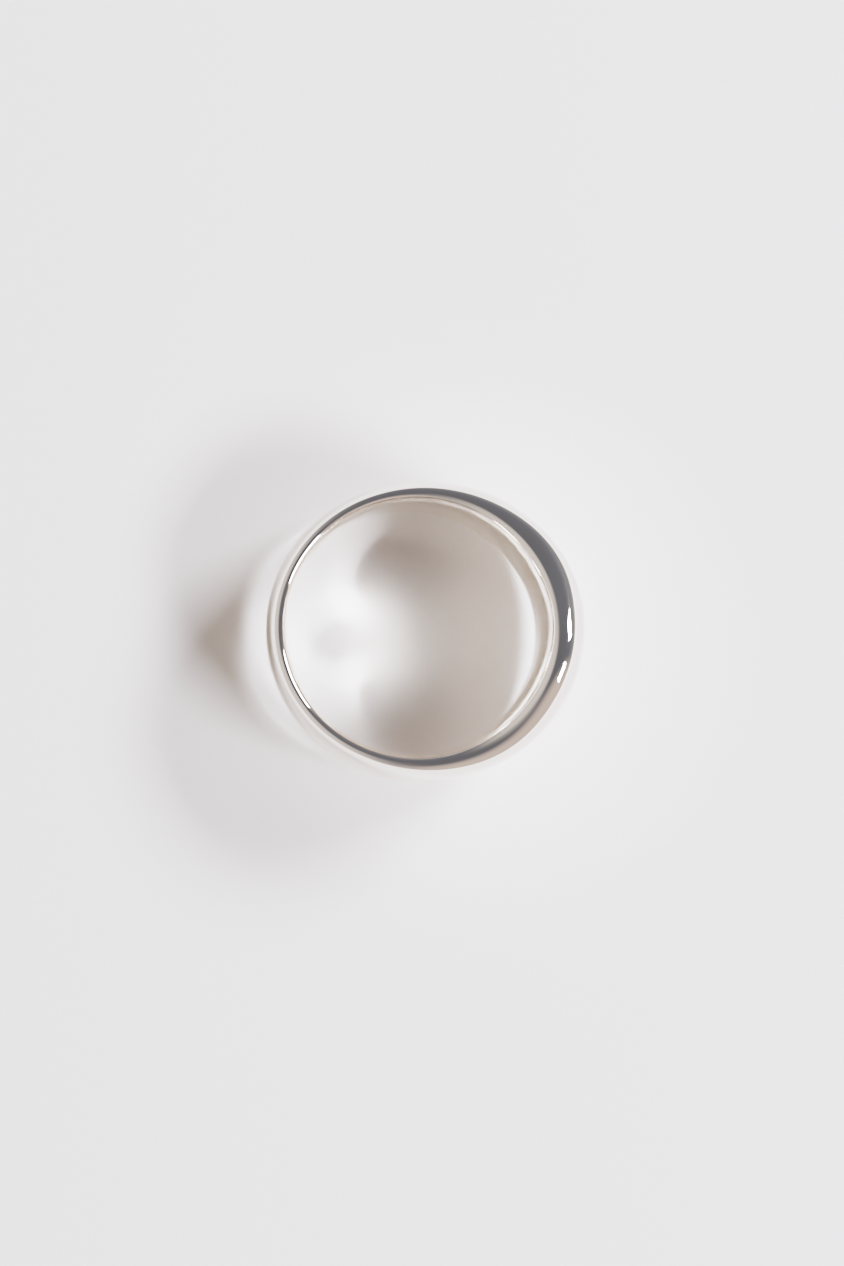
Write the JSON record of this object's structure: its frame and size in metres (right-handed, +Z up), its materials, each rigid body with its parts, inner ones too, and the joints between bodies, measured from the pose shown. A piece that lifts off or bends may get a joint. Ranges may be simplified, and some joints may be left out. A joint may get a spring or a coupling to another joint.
{
  "type": "domed band ring",
  "caption": "Plain polished silver ring with a domed band, thick and peaked at the front and slim at the back, lying on its side.",
  "frame": {"origin": "on the surface the ring lies on, under the middle of its outline", "axes": "+Z up along the finger hole's axis, +X towards the thick front of the band"},
  "size_m": [0.0218, 0.021, 0.0104],
  "materials": {
    "silver": "mirror-polished sterling silver with faint wear"
  },
  "bodies": {
    "root": {"band": "silver"}
  },
  "joints": []
}
